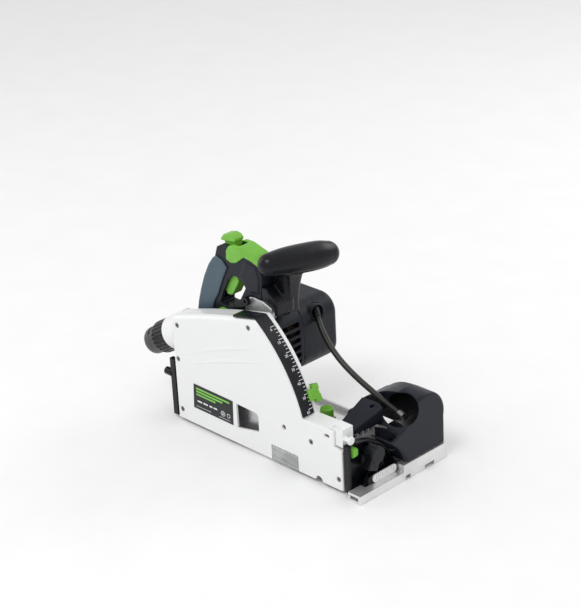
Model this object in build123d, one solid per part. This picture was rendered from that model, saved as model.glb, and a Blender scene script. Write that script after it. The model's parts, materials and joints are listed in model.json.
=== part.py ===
from build123d import *
import os
from math import atan2, cos, degrees, pi, radians, sin, tan

# Track plunge saw with a scoring unit.  X is the cutting direction, Y points to the motor side,
# Z is up, and the origin is the centre of the sole plate's underside.

# --- driving dimensions, mm ---------------------------------------------------------------
PLATE_LENGTH = 348.0
PLATE_LEFT = 81.0
PLATE_RIGHT = -61.0
PLATE_TOP = 4.0
RAIL_GROOVE_Y = 46.7
RAIL_GROOVE_WIDTH = 18.0
RAIL_GROOVE_DEPTH = 6.0

BLADE_Y = -64.0
BLADE_RADIUS = 84.0
BLADE_BORE = 10.0
BLADE_TEETH = 42
SCORING_RADIUS = 23.5
SCORING_TEETH = 12

HOUSING_RIGHT = -78.0
HOUSING_LEFT = -50.0
COVER_SPLIT = -66.0
HOUSING_BOTTOM = 5.0
HOUSING_REAR = -174.0
HOUSING_FRONT = 139.0
WALL = 3.0

PIVOT_X, PIVOT_Z = -147.0, 21.0
ARBOR_X, ARBOR_Z = -37.0, 90.0
MOTOR_X, MOTOR_Z = -65.0, 132.0
SCALE_RADIUS = 226.5
SCALE_LOW, SCALE_HIGH = 16.2, 52.4

SCORING_MOTOR_X, SCORING_MOTOR_Z = 148.0, 50.0
SCORING_X, SCORING_Z = 100.0, 28.0

CLAMP_RADIUS = 57.0
CLAMP_ANGLE = 66.0
BEVEL_RANGE = 47.0
SEGMENT_RADIUS = 72.0

HANDLE_Y = -25.0
MOTOR_FRONT_Y = -24.0
MOTOR_SPLIT_Y = 20.0
MOTOR_END_Y = 86.0
RUNNING_FIT = 0.05

os.makedirs("parts", exist_ok=True)
nodes = {}


# --- helpers -------------------------------------------------------------------------------
def along_y(sketch, y0, y1):
    """Extrude a profile drawn in X and Z from y0 to y1."""
    plane = Plane(origin=(0, y1, 0), x_dir=(1, 0, 0), z_dir=(0, -1, 0))
    return extrude(plane * sketch, amount=y1 - y0)


def along_x(sketch, x0, x1):
    """Extrude a profile drawn in Y and Z from x0 to x1."""
    plane = Plane(origin=(x0, 0, 0), x_dir=(0, 1, 0), z_dir=(1, 0, 0))
    return extrude(plane * sketch, amount=x1 - x0)


def block(x0, x1, y0, y1, z0, z1):
    size = Box(x1 - x0, y1 - y0, z1 - z0)
    return Pos((x0 + x1) / 2, (y0 + y1) / 2, (z0 + z1) / 2) * size


def polygon(*points):
    return make_face(Polyline(*points, close=True))


def disc(x, z, radius):
    return Pos(x, z) * Circle(radius)


def rod_y(x, z, radius, y0, y1):
    return along_y(disc(x, z, radius), y0, y1)


def rod_x(y, z, radius, x0, x1):
    return along_x(disc(y, z, radius), x0, x1)


def rod_z(x, y, radius, z0, z1):
    return Pos(x, y, (z0 + z1) / 2) * Cylinder(radius, z1 - z0)


def polar(x, z, radius, angle):
    return (x + radius * cos(radians(angle)), z + radius * sin(radians(angle)))


def ring_sector(x, z, inner, outer, start, end):
    """A band of a ring between two angles, drawn about (x, z)."""
    middle = (start + end) / 2
    band = [
        ThreePointArc(polar(x, z, outer, start), polar(x, z, outer, middle), polar(x, z, outer, end)),
        Line(polar(x, z, outer, end), polar(x, z, inner, end)),
        ThreePointArc(polar(x, z, inner, end), polar(x, z, inner, middle), polar(x, z, inner, start)),
        Line(polar(x, z, inner, start), polar(x, z, outer, start)),
    ]
    return make_face(band)


def arc_slot(x, z, radius, half_width, start, end):
    ends = [disc(*polar(x, z, radius, angle), half_width) for angle in (start, end)]
    return ring_sector(x, z, radius - half_width, radius + half_width, start, end) + ends


def strap(x0, z0, r0, x1, z1, r1):
    """Outline of a belt drawn round two circles."""
    return make_hull(disc(x0, z0, r0).edges() + disc(x1, z1, r1).edges())


def gear_outline(x, z, teeth, phase):
    """Spur gear profile of module 1 with straight-flanked teeth."""
    pitch = teeth / 2
    step = 360 / teeth
    points = []
    for tooth in range(teeth):
        centre = phase + tooth * step
        for radius, share in ((pitch - 1.25, -0.34), (pitch + 0.8, -0.13), (pitch + 0.8, 0.13), (pitch - 1.25, 0.34)):
            points.append(polar(x, z, radius, centre + share * step))
    return polygon(*points)


def toothed_disc(x, z, radius, teeth, gullet):
    """Saw blade outline: each tooth has a steep face and a sloping back."""
    step = 360 / teeth
    points = []
    for tooth in range(teeth):
        centre = tooth * step
        points.append(polar(x, z, radius, centre))
        points.append(polar(x, z, radius - 1.2, centre + 0.42 * step))
        points.append(polar(x, z, radius - gullet, centre + 0.72 * step))
        points.append(polar(x, z, radius - gullet, centre + 0.9 * step))
    return polygon(*points)


def bearing(x, z, bore, outer, y0, y1):
    """Inner and outer race with a ring of balls' shield between them, as one closed bearing."""
    return rod_y(x, z, outer, y0, y1) - rod_y(x, z, bore, y0, y1)


def socket_screw(x, z, head_radius, y_head, y_seat, y_end):
    """Countersunk-flush socket screw along Y, its head towards the right."""
    head = rod_y(x, z, head_radius, y_head, y_seat)
    shank = rod_y(x, z, head_radius / 2, y_seat, y_end)
    key = along_y(Pos(x, z) * RegularPolygon(head_radius * 0.55, 6), y_head, y_head + 1.6)
    return head + shank - key


# --- sole plate and what is fixed to it ------------------------------------------------------
HALF = PLATE_LENGTH / 2
CROSS_BAR = 12.0
NOTCH_Y0, NOTCH_Y1 = 1.0, 10.4
PLATE_CUT = (-44.0, 12.0, -20.0)


def make_sole_plate():
    plate = block(-HALF, HALF, PLATE_RIGHT, PLATE_LEFT, 0, PLATE_TOP)
    plate += block(-HALF, HALF, 32, 61, 0, 9.5)
    plate += block(-HALF, 120, -6, 17, 0, 8.5)
    plate += block(-HALF, HALF, 77.5, PLATE_LEFT, 0, 11)
    plate += block(-HALF, -HALF + CROSS_BAR, -46, PLATE_LEFT, 0, 12)
    plate += block(HALF - CROSS_BAR, HALF, -83, PLATE_LEFT, 0, 12)
    plate += block(HALF - CROSS_BAR, HALF, -2, PLATE_LEFT, 12, 22)
    plate += block(153, HALF, -83, PLATE_RIGHT, 0, 12)
    groove_y0 = RAIL_GROOVE_Y - RAIL_GROOVE_WIDTH / 2
    groove_y1 = RAIL_GROOVE_Y + RAIL_GROOVE_WIDTH / 2
    plate -= block(-HALF - 1, HALF + 1, groove_y0, groove_y1, -1, RAIL_GROOVE_DEPTH)
    plate -= block(-HALF - 1, HALF + 1, NOTCH_Y0, NOTCH_Y1, -1, RAIL_GROOVE_DEPTH)
    x0, x1, y1 = PLATE_CUT
    plate -= block(x0, x1, PLATE_RIGHT - 1, y1, -1, 12)
    plate -= block(156, 170, -84, -74, 3.5, 8.5)
    for x in GIB_X:
        plate -= rod_z(x, RAIL_GROOVE_Y, 3 + RUNNING_FIT, 0, 12)
    for x in (-130, -90, 60, 100):
        plate -= block(x - 14, x + 14, 66, 74, -1, 5)
    return plate


GIB_X = (-120.0, -10.0)


def make_gib_knob(x):
    """Round adjusting knob whose pin reaches down to the rail groove."""
    knob = rod_z(x, RAIL_GROOVE_Y, 8.5, 9.8, 14.7)
    knob = fillet(knob.faces().sort_by(Axis.Z)[-1].edges(), 1.2)
    for turn in range(12):
        grip = Rot(0, 0, 30 * turn) * Pos(8.9, 0, 12.5) * Cylinder(1.0, 8)
        knob -= Pos(x, RAIL_GROOVE_Y, 0) * grip
    knob -= block(x - 6, x + 6, RAIL_GROOVE_Y - 0.9, RAIL_GROOVE_Y + 0.9, 13.5, 15)
    return knob + rod_z(x, RAIL_GROOVE_Y, 3, 6.3, 10)


def clamp_point(angle=CLAMP_ANGLE):
    return (BLADE_Y + CLAMP_RADIUS * cos(radians(angle)), CLAMP_RADIUS * sin(radians(angle)))


CLAMP_Y, CLAMP_Z = clamp_point()


def make_bevel_bracket(x0, x1):
    """Upright on the sole plate that holds a bevel clamp bolt."""
    plate = along_x(polygon((-47, PLATE_TOP), (-12, PLATE_TOP), (-12, 16), (-33, 55), (-47, 55)), x0, x1)
    plate += rod_x(CLAMP_Y, CLAMP_Z, 7, x0, x1)
    plate -= rod_x(CLAMP_Y, CLAMP_Z, 4, x0 - 1, x1 + 1)
    plate -= along_x(polygon((-40, 14), (-24, 14), (-24, 24), (-36, 40), (-40, 40)), x0 - 1, x1 + 1)
    return plate


BOLT_END = 9.0


def make_clamp_knob(x_near, x_far):
    """Clamp lever: a round hub, closed at its outer end, with a ribbed finger tab."""
    outward = 1 if x_far > x_near else -1
    low, high = sorted((x_near, x_far))
    knob = rod_x(CLAMP_Y, CLAMP_Z, 12, low, high)
    tab = Pos(CLAMP_Y, CLAMP_Z) * Rot(0, 0, TAB_ANGLE) * Pos(11, 0) * Rectangle(22, 17)
    knob += along_x(tab, low + 2, high - 2)
    knob = fillet(knob.faces().sort_by(Axis.X)[-1 if outward > 0 else 0].edges(), 1.5)
    bore_end = x_near + outward * (BOLT_END + 1)
    knob -= rod_x(CLAMP_Y, CLAMP_Z, 4 + RUNNING_FIT, *sorted((x_near - outward, bore_end)))
    for rib in range(5):
        groove = Pos(CLAMP_Y, CLAMP_Z) * Rot(0, 0, TAB_ANGLE) * Pos(22, -6.4 + 3.2 * rib) * Rectangle(2, 1.4)
        knob -= along_x(groove, low + 2, high - 2)
    return knob


TAB_ANGLE = -115.0
FRONT_KNOB_X, REAR_KNOB_X = 152.0, -187.0


def make_clamp_bolts():
    head = Pos(CLAMP_Y, CLAMP_Z) * RegularPolygon(7, 6)
    front = rod_x(CLAMP_Y, CLAMP_Z, 4, 131, FRONT_KNOB_X + BOLT_END) + along_x(head, 127.5, 131.4)
    rear = rod_x(CLAMP_Y, CLAMP_Z, 4, REAR_KNOB_X - BOLT_END, -166) + along_x(head, -167.9, -164)
    return front + rear


def make_front_foot_block():
    """Moulded block between the front bevel segment and the front cross bar."""
    profile = polygon((-55, PLATE_TOP), (4, PLATE_TOP), (4, 20), (-1, 24), (-48, 24), (-55, 18))
    foot = along_x(profile, 153, 161.8)
    return foot - block(154, 160, -50, -5, 12, 25)


def make_bevel_label():
    return along_x(Pos(-26, 17.9) * RectangleRounded(43, 11.6, 5), 161.8, 163.6)


def make_bracket_screws():
    screws = []
    for x in (135.6, -171.8):
        for y in (-43.5, -15.5):
            screws.append(rod_z(x, y, 2.2, 0.6, PLATE_TOP + 6))
    return screws


uprights = make_bevel_bracket(131.5, 139.7) + make_bevel_bracket(-175.8, -168)
screws = make_bracket_screws()
nodes["bevel_brackets"] = uprights + make_front_foot_block() - screws
nodes["sole_plate"] = make_sole_plate() - screws - uprights
nodes["base_bolts"] = make_clamp_bolts() + screws
nodes["bevel_scale_label"] = make_bevel_label()
nodes["front_clamp_knob"] = make_clamp_knob(FRONT_KNOB_X, 168)
nodes["rear_clamp_knob"] = make_clamp_knob(REAR_KNOB_X, -200)
nodes["rear_gib_knob"] = make_gib_knob(GIB_X[0])
nodes["front_gib_knob"] = make_gib_knob(GIB_X[1])


# --- tilting blade housing ------------------------------------------------------------------
TOP_CORNER = polar(PIVOT_X, PIVOT_Z, SCALE_RADIUS, SCALE_HIGH)
COVER_SCREWS = ((-163, 146), (-21, 185), (-166, 95), (-165, 19), (85, 57), (132.5, 20))
DEPTH_KNOB = (57.0, -20.0)
DUST_TILT = 30.0
STUB_OUTER, STUB_INNER = 24.5, 21.0
STUB_FRONT = -175.0
DUST_FRAME = Plane(
    origin=(-195, -53, 117.5),
    x_dir=(0, 1, 0),
    z_dir=(-cos(radians(DUST_TILT)), 0, -sin(radians(DUST_TILT))),
)


def housing_outline(margin=0.0):
    """Side view of the blade housing; margin draws it smaller all round, open at the bottom."""
    rear = HOUSING_REAR + margin
    front = HOUSING_FRONT - margin
    floor = HOUSING_BOTTOM - (20 if margin else 0)
    middle = (SCALE_LOW + SCALE_HIGH) / 2
    radius = SCALE_RADIUS - margin
    top = polar(PIVOT_X, PIVOT_Z, radius - margin * 0.2, SCALE_HIGH - margin * 0.25)
    low = polar(PIVOT_X, PIVOT_Z, radius, SCALE_LOW - margin * 0.2)
    edges = [
        Line((rear, floor), (rear, 157 - margin)),
        ThreePointArc((rear, 157 - margin), (-92, 181 - margin), top),
        ThreePointArc(top, polar(PIVOT_X, PIVOT_Z, radius, middle), low),
        Polyline(low, (126 - margin, 86 - margin), (126 - margin, 64), (front, 61), (front, floor)),
        Line((front, floor), (rear, floor)),
    ]
    return make_face(edges)


def dust_tube(outer, inner, start, end):
    ring = Circle(outer) - Circle(inner)
    return extrude(DUST_FRAME.offset(start) * ring, amount=end - start)


def make_airway():
    """Opening from the housing's chamber into the dust stub."""
    return extrude(DUST_FRAME.offset(-46) * Circle(17), amount=46) & block(-200, -140, -90, HOUSING_LEFT - WALL, 60, 140)


def make_blade_housing():
    shell = along_y(housing_outline(), COVER_SPLIT, HOUSING_LEFT)
    shell -= along_y(housing_outline(WALL), COVER_SPLIT - 1, HOUSING_LEFT - WALL)
    boss_screws = [rod_y(x, z, 4.6, COVER_SPLIT, HOUSING_LEFT - 1) for x, z in COVER_SCREWS]
    shell += [boss & along_y(housing_outline(), COVER_SPLIT, HOUSING_LEFT) for boss in boss_screws]
    for x, z in COVER_SCREWS:
        shell -= rod_y(x, z, 1.95, COVER_SPLIT - 1, COVER_SPLIT + 10)
    # the arbor's plunge slot and the scoring spindle's slot in the left wall
    shell -= along_y(arc_slot(PIVOT_X, PIVOT_Z, 129.85, 27.8, -4, 32.3), HOUSING_LEFT - WALL - 1, HOUSING_LEFT + 1)
    shell -= along_y(strap(SCORING_X, SCORING_Z, 11, SCORING_X + 4, SCORING_Z - 8, 11), -54, -49)
    # the depth stop's guide slot
    shell -= along_y(arc_slot(PIVOT_X, PIVOT_Z, STOP_RADIUS, 2.3, 20.4, 50.4), -54, -49)
    # plunge pivot boss
    shell += rod_y(PIVOT_X, PIVOT_Z, 13, HOUSING_LEFT - WALL - 6, HOUSING_LEFT + 2)
    shell -= rod_y(PIVOT_X, PIVOT_Z, 6, -70, HOUSING_LEFT + 3)
    # slotted cross wall and the shelf that carries the scoring unit
    wall = block(119, 123, HOUSING_LEFT - 1, 0, 23, 67.5)
    for slot in range(4):
        wall -= block(118, 124, -40 + 10 * slot, -33 + 10 * slot, 57.5, 63.5)
    shelf = block(121, 127, HOUSING_LEFT - 1, 76, 23, 27)
    shelf += block(121, 168, 15, 76, 23, 27)
    shelf -= block(117, 137, 2, 14.6, 22, 28)
    shelf += block(121, 127, -2, 18, 10, 14)
    shelf += block(121, 127, -2, 2, 10, 27) + block(121, 127, 14.6, 18, 10, 27)
    saddle = block(138, 158, 16, 70, 27, 32)
    saddle -= rod_y(SCORING_MOTOR_X, SCORING_MOTOR_Z, 19, 10, 76)
    bracket = block(50, 64, HOUSING_LEFT - 1, -11, 54.5, 59)
    bracket -= rod_z(*DEPTH_KNOB, 2 + RUNNING_FIT, 50, 62)
    shell += wall + shelf + saddle + bracket
    # dust outlet stub behind the housing, closed where it stands out past the left wall
    stub = extrude(DUST_FRAME.offset(-42) * Circle(STUB_OUTER), amount=42)
    stub -= along_y(housing_outline(), -90, HOUSING_LEFT)
    shell += stub - block(STUB_FRONT, -100, HOUSING_LEFT, 0, 60, 200)
    shell -= extrude(DUST_FRAME.offset(-16) * Circle(STUB_INNER), amount=17)
    return shell - make_airway()


STOP_RADIUS = 217.0
PORT_BORE = 15.0
SPRING_Y = -28.6


def make_side_cover():
    cover = along_y(housing_outline(), HOUSING_RIGHT, COVER_SPLIT)
    outer_edges = cover.faces().sort_by(Axis.Y)[0].edges().sort_by(Axis.Z)[1:]
    cover = fillet(outer_edges[-1:], 8)
    rest = cover.faces().sort_by(Axis.Y)[0].edges().sort_by(Axis.Z)[1:-1]
    cover = fillet(rest, 2.4)
    cover -= along_y(housing_outline(WALL), HOUSING_RIGHT + WALL, COVER_SPLIT + 1)
    for x, z in COVER_SCREWS:
        boss = rod_y(x, z, 4.6, HOUSING_RIGHT + 1, COVER_SPLIT)
        cover += boss & along_y(housing_outline(), HOUSING_RIGHT + 1, COVER_SPLIT)
        cover -= rod_y(x, z, 3.9, HOUSING_RIGHT - 1, HOUSING_RIGHT + 3.4)
        cover -= rod_y(x, z, 1.95, HOUSING_RIGHT, COVER_SPLIT + 1)
    cover -= along_y(polygon((-54, 28.5), (-12, 36.7), (-12, 60), (-16, 63.5), (-54, 64.8)), -80, -70)
    cover -= block(10, 60, -80, -70, 0, GUARD_TOP)
    cover -= rod_y(36, 61, 3.6, -80, -70)
    cover -= along_y(Pos(114, 76) * SlotOverall(9, 4.5), -80, -70)
    cover -= rod_y(97, 5, 6.5, -80, -70)
    return cover - make_airway()


GUARD_TOP = 27.0


def make_splinter_guard():
    """Clear insert in the cover's lower notch."""
    guard = block(10.2, 59.8, -77.8, -75.2, 4.2, GUARD_TOP - 0.2)
    guard -= block(10, 34, -79, -76.4, 8, 20)
    return guard + block(14, 56, -75.2, -73.2, 8, 24)


def make_depth_scale():
    """Black strip on the housing's front rim, over its top corner."""
    band = ring_sector(PIVOT_X, PIVOT_Z, SCALE_RADIUS, SCALE_RADIUS + 2, SCALE_LOW + 0.4, SCALE_HIGH)
    x, z = TOP_CORNER
    cap = polygon((-50, 188), (x + 1.2, z - 3), (x + 1.2, z + 1.6), (-50, 194.6))
    strip = along_y(band + cap, -76.5, -57)
    return strip - along_y(housing_outline(), HOUSING_RIGHT - 1, HOUSING_LEFT + 1)


def make_cover_screws():
    return [socket_screw(x, z, 3.8, HOUSING_RIGHT + 0.2, HOUSING_RIGHT + 3.4, COVER_SPLIT + 9) for x, z in COVER_SCREWS]


def make_rating_label():
    return along_y(polygon((-140, 30.5), (-62, 29.8), (-60.5, 65.8), (-137.5, 67)), HOUSING_RIGHT - 0.6, HOUSING_RIGHT)


def segment_outline():
    y0 = -77.0
    radius = SEGMENT_RADIUS
    foot = 4.6
    top_z = (radius**2 - (y0 - BLADE_Y) ** 2) ** 0.5
    end_y = BLADE_Y + (radius**2 - foot**2) ** 0.5
    middle = (BLADE_Y + radius * cos(radians(50)), radius * sin(radians(50)))
    edges = [
        Line((y0, foot), (y0, top_z)),
        ThreePointArc((y0, top_z), middle, (end_y, foot)),
        Line((end_y, foot), (y0, foot)),
    ]
    return make_face(edges)


def make_segment(x_plate0, x_plate1, x_rim0, x_rim1):
    """Bevel segment: a quarter plate with a clamp slot, a raised rim and a raised right edge."""
    plate = along_x(segment_outline(), x_plate0, x_plate1)
    rim = ring_sector(BLADE_Y, 0, SEGMENT_RADIUS - 3.5, SEGMENT_RADIUS, 6, 100)
    rim_solid = along_x(rim, x_rim0, x_rim1) & along_x(segment_outline(), x_rim0, x_rim1)
    edge = block(x_rim0, x_rim1, -77, -73.5, 4.6, 70)
    low = CLAMP_ANGLE - BEVEL_RANGE - 0.6
    slot = arc_slot(BLADE_Y, 0, CLAMP_RADIUS, 4.3, low, CLAMP_ANGLE + 0.6)
    return plate + rim_solid + edge - along_x(slot, x_plate0 - 1, x_plate1 + 1)


SLIDER_Y = -67.0


def make_front_segment():
    segment = make_segment(141, 146, 141, 151)
    return segment - block(140, 152, SLIDER_Y - 4.3, SLIDER_Y + 4.3, 54, 73)


def make_bevel_slider():
    """Green stop slider in the front segment's top corner."""
    body = block(140.9, 152, SLIDER_Y - 4, SLIDER_Y + 4, 54.6, 66)
    return body + block(150, 153.4, SLIDER_Y - 4, SLIDER_Y + 4, 57, 65)


def make_rear_segment():
    segment = make_segment(-181, -176.4, -186, -176.4)
    segment += block(-186, -176.4, -77, -70, 60, 90)
    segment += rod_x(-73.5, 66, 5.5, -198, -185)
    return segment


def make_plunge_pin():
    return rod_y(PIVOT_X, PIVOT_Z, 6, -59, -20) + rod_y(PIVOT_X, PIVOT_Z, 12, -22, -20)


def make_depth_stop():
    """Green carriage that slides along the depth scale, with its guide pins."""
    body = along_y(ring_sector(PIVOT_X, PIVOT_Z, 210, 231.5, 19.4, 25.2), -49.6, -40)
    body += along_y(ring_sector(PIVOT_X, PIVOT_Z, 229, 231.5, 20.5, 24.2), -60, -45)
    body -= along_y(ring_sector(PIVOT_X, PIVOT_Z, 221, 233, 21.6, 23.4), -41.5, -39)
    for angle in (20.9, 23.7):
        x, z = polar(PIVOT_X, PIVOT_Z, STOP_RADIUS, angle)
        body += rod_y(x, z, 2.1, -53, -49)
    x, z = polar(PIVOT_X, PIVOT_Z, 214, 22.3)
    return body - rod_y(x, z, 3.2, -47, -39)


def make_depth_stop_button():
    x, z = polar(PIVOT_X, PIVOT_Z, 214, 22.3)
    return rod_y(x, z, 3.1, -44, -39)


nodes["blade_housing"] = make_blade_housing()
nodes["side_cover"] = make_side_cover()
nodes["splinter_guard"] = make_splinter_guard()
nodes["depth_scale"] = make_depth_scale()
nodes["cover_screws"] = Part() + make_cover_screws()
nodes["rating_label"] = make_rating_label()
nodes["front_segment"] = make_front_segment()
nodes["rear_segment"] = make_rear_segment()
nodes["bevel_stop_slider"] = make_bevel_slider()
nodes["plunge_pin"] = make_plunge_pin()
nodes["depth_stop"] = make_depth_stop()
nodes["depth_stop_button"] = make_depth_stop_button()
nodes["dust_collar"] = dust_tube(23.5, 17.6, 0.2, 31)
nodes["dust_spigot"] = dust_tube(17.5, PORT_BORE, -7, 56) + dust_tube(STUB_INNER - 0.08, PORT_BORE, -7, -0.5)
nodes["dust_spigot"] += dust_tube(19.5, PORT_BORE, 31.1, 55)


# --- scoring unit ----------------------------------------------------------------------------
LEAD_RADIUS = 4.0
LEAD_ROUTE = (
    (-27.0, 49.0, 164.0),
    (-9.5, 40.0, 148.0),
    (9.0, 36.5, 128.0),
    (32.0, 35.0, 110.5),
    (62.0, 34.0, 96.0),
    (92.0, 33.0, 85.5),
    (118.0, 31.5, 77.5),
    (139.0, 29.5, 73.0),
)
GLAND_PLANE = Plane(origin=LEAD_ROUTE[0], z_dir=Vector(*LEAD_ROUTE[1]) - Vector(*LEAD_ROUTE[0]))
TERMINAL_PLANE = Plane(origin=LEAD_ROUTE[-1], z_dir=Vector(*LEAD_ROUTE[-1]) - Vector(*LEAD_ROUTE[-2]))


def scoring_profile(margin=0.0):
    """Front view of the scoring unit's cover, wrapped round the bevel segment at its lower right."""
    left = PLATE_LEFT - 1 - margin
    floor = 12.0 if margin else 22.6
    inner = SEGMENT_RADIUS + 1.5 + margin
    start = (BLADE_Y + (inner**2 - floor**2) ** 0.5, floor)
    arc_mid = (BLADE_Y + inner * cos(radians(35)), inner * sin(radians(35)))
    arc_end = (BLADE_Y + inner * cos(radians(56)), inner * sin(radians(56)))
    shoulder, crown = (74.6 - margin * 0.8, 90 - margin * 0.7), (52, 104.6 - margin)
    brow = (6 + margin, 74 - margin * 0.5)
    edges = [
        Line(start, (left, floor)),
        Line((left, floor), (left, 62)),
        ThreePointArc((left, 62), shoulder, crown),
        ThreePointArc(crown, (22 + margin * 0.5, 97.6 - margin), brow),
        Line(brow, arc_end),
        ThreePointArc(arc_end, arc_mid, start),
    ]
    return make_face(edges)


LOBE_REAR, LOBE_FRONT = 68.0, 137.0
LOBE_RIGHT, LOBE_LEFT = 5.0, 80.0
LOBE_TOP = 70.0
RIDGE_RIGHT = 40.0


def lobe(margin=0.0):
    """Rear part of the scoring unit's cover, with a rounded rear top edge."""
    body = block(LOBE_REAR + margin, LOBE_FRONT + margin, LOBE_RIGHT + margin, LOBE_LEFT - margin, 22.6, LOBE_TOP - margin)
    rear_top = body.edges().filter_by(Axis.Y).group_by(Axis.X)[0].sort_by(Axis.Z)[-1:]
    return fillet(rear_top, 16 - margin)


def ridge(margin=0.0):
    """Taller left half of the cover's rear part, its top sloping up to the front hood."""
    start = (52 + margin, 22.6)
    edges = [
        Line(start, (52 + margin, 46)),
        ThreePointArc((52 + margin, 46), (61 + margin * 0.7, 62.5 - margin * 0.7), (77, 74 - margin)),
        ThreePointArc((77, 74 - margin), (101, 88 - margin), (126, 95 - margin)),
        Polyline((126, 95 - margin), (137 + margin, 96 - margin), (137 + margin, 22.6), start),
    ]
    return along_y(make_face(edges), RIDGE_RIGHT + margin, LOBE_LEFT - margin)


def make_tapered_cover():
    """Cover over the swing arm, narrowing towards the blade housing."""
    near = Plane(origin=(0, LOBE_RIGHT + 1, 0), x_dir=(1, 0, 0), z_dir=(0, -1, 0))
    far = Plane(origin=(0, HOUSING_LEFT + 0.6, 0), x_dir=(1, 0, 0), z_dir=(0, -1, 0))
    wide = polygon((90, 68), (133, 68), (133, 88), (126, 93), (97, 92), (90, 80))
    slim = polygon((103, 68.5), (129, 68.5), (129, 75), (126, 77), (106, 77), (103, 74))
    taper = loft([near * wide, far * slim])
    return taper - rod_z(121, -2, 3.4, 84, 100)


def make_scoring_cover():
    front = along_x(scoring_profile(), 136, 172)
    front = fillet(front.faces().sort_by(Axis.X)[-1].edges().sort_by(Axis.Z)[1:], 4)
    cover = front + lobe() + (ridge() & along_x(scoring_profile(), 50, 138))
    cover -= along_x(scoring_profile(WALL_THIN), 136, 172 - WALL_THIN)
    cover -= lobe(WALL_THIN) + Pos(0, 0, -20) * lobe(WALL_THIN)
    hollow = ridge(WALL_THIN) & along_x(scoring_profile(WALL_THIN), 50, 141)
    cover -= hollow + Pos(0, 0, -20) * hollow
    cover += make_tapered_cover()
    # the mouth that the lead goes into, open to the front right, and the lead's way in from the rear
    mouth = Plane(origin=(147, 23, 83), z_dir=(0.6, -0.62, 0.5))
    cover -= extrude(mouth * Circle(23), amount=70, both=True) & block(112, 180, -60, 54, 58, 140)
    channel = Plane(origin=(96, 33, 86), z_dir=(45, -4, -14))
    cover -= extrude(channel * Circle(6.5), amount=44, both=True)
    cover -= rod_x(28, 56, 8, LOBE_REAR - 1, LOBE_REAR + 1.5)
    # room for the swing arm, its drive and the shelf underneath
    for rise in (18, 30, 42):
        cover -= along_y(strap(SCORING_X, rise, 14, SCORING_MOTOR_X, SCORING_MOTOR_Z, 15), -12, 14.6)
    cover -= block(84, 130, 0, 15.5, 10, 50)
    return cover - block(118, 133, 0, 9, 20, 34)


WALL_THIN = 2.5


def make_scoring_motor():
    can = rod_y(SCORING_MOTOR_X, SCORING_MOTOR_Z, 19, 16, 70)
    can -= rod_y(SCORING_MOTOR_X, SCORING_MOTOR_Z, 15.5, 18, 68)
    can -= rod_y(SCORING_MOTOR_X, SCORING_MOTOR_Z, 3 + RUNNING_FIT, 15, 20)
    can -= rod_y(SCORING_MOTOR_X, SCORING_MOTOR_Z, 3 + RUNNING_FIT, 67, 69)
    terminal = extrude(TERMINAL_PLANE * Circle(5.5), amount=9) + block(143, 151, 25, 33, 66, 73)
    return can + terminal


def make_scoring_rotor():
    shaft = rod_y(SCORING_MOTOR_X, SCORING_MOTOR_Z, 3, 4.2, 68.6)
    core = rod_y(SCORING_MOTOR_X, SCORING_MOTOR_Z, 14.8, 24, 62)
    pulley = rod_y(SCORING_MOTOR_X, SCORING_MOTOR_Z, 8, 5, 13)
    return shaft + core + pulley


ARM_BACK = 3.4


def make_scoring_arm():
    """Swing arm: spindle housing, hub round the scoring motor's axis and tail under the depth knob."""
    arm = along_y(polygon((88, 30), (91, 17), (108, 17), (113, 40), (116, 60), (95, 60)), HOUSING_LEFT + 1.2, ARM_BACK)
    arm += along_y(strap(SCORING_X, 44, 9, SCORING_MOTOR_X, SCORING_MOTOR_Z, 13), ARM_BACK - 3, ARM_BACK)
    arm += rod_y(SCORING_X, SCORING_Z, 9, -58, -40)
    arm += block(50, 96, -24, -16, 36, 42)
    arm -= rod_y(SCORING_X, SCORING_Z, 4 + RUNNING_FIT, -59, 4)
    return arm - rod_y(SCORING_MOTOR_X, SCORING_MOTOR_Z, 3 + RUNNING_FIT, -3, 5)


def make_scoring_spindle():
    shaft = rod_y(SCORING_X, SCORING_Z, 4, -66.5, 13)
    flange = rod_y(SCORING_X, SCORING_Z, 8, BLADE_Y + 0.8, -58.4)
    pulley = rod_y(SCORING_X, SCORING_Z, 10, 5, 13)
    return shaft + flange + pulley


def make_scoring_blade():
    blade = along_y(toothed_disc(SCORING_X, SCORING_Z, SCORING_RADIUS, SCORING_TEETH, 5), BLADE_Y - 0.8, BLADE_Y + 0.8)
    return blade - rod_y(SCORING_X, SCORING_Z, 4, -70, -60)


def make_scoring_belt():
    outer = strap(SCORING_X, SCORING_Z, 11.8, SCORING_MOTOR_X, SCORING_MOTOR_Z, 9.8)
    inner = strap(SCORING_X, SCORING_Z, 10.2, SCORING_MOTOR_X, SCORING_MOTOR_Z, 8.2)
    return along_y(outer, 6, 12) - along_y(inner, 5, 13)


def make_scoring_nut():
    nut = along_y(Pos(SCORING_X, SCORING_Z) * RegularPolygon(6.5, 6), -70.5, BLADE_Y - 0.8)
    return nut - rod_y(SCORING_X, SCORING_Z, 4, -66.5, -60)


def make_scoring_adjuster():
    """Bracket on top of the housing's front end with the screw that sets the scoring blade's side position."""
    bracket = block(117, 139, -75, -56, 86.2, 91) - block(121, 133, -76, -69, 88, 92)
    bracket += block(126.4, 139, -75, -56, 66, 87)
    screw = rod_x(-71, 78, 3.2, 138, 148) + rod_x(-71, 78.5, 5.5, 148, 151)
    return bracket + screw


def make_scoring_depth_knob():
    """Knurled knob on a screw that bears on the swing arm's tail."""
    x, y = DEPTH_KNOB
    knob = rod_z(x, y, 8.8, 60, 73)
    knob = fillet(knob.faces().sort_by(Axis.Z)[-1].edges(), 1.5) + rod_z(x, y, 2, 42.3, 60)
    for turn in range(12):
        knob -= Pos(x, y, 0) * Rot(0, 0, 30 * turn) * Pos(9.2, 0, 65) * Cylinder(1.1, 12)
    return knob


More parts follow.
